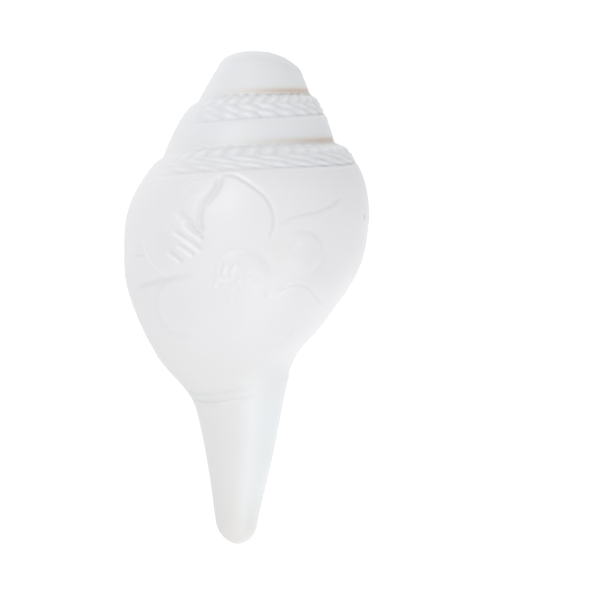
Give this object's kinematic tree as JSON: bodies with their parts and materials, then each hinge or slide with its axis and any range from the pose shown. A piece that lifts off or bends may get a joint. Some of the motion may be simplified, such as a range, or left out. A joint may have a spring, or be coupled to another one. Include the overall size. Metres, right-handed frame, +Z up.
{
  "type": "sacred chank shell",
  "caption": "White polished chank conch with carved plaited bands, a lotus on the body whorl and a ring at the tail, lying on its opening.",
  "frame": {"origin": "bottom centre of the bounding box, on the surface that the shell lies on", "axes": "+Z up, the carved side up and the opening down; +Y towards the spire, -Y towards the tail's tip; +X to the right seen from above with the spire away from the viewer"},
  "size_m": [0.1017, 0.1994, 0.0917],
  "materials": {
    "shell": "ground and polished natural shell, soft gloss"
  },
  "bodies": {
    "root": {"shell": "shell"}
  },
  "joints": []
}
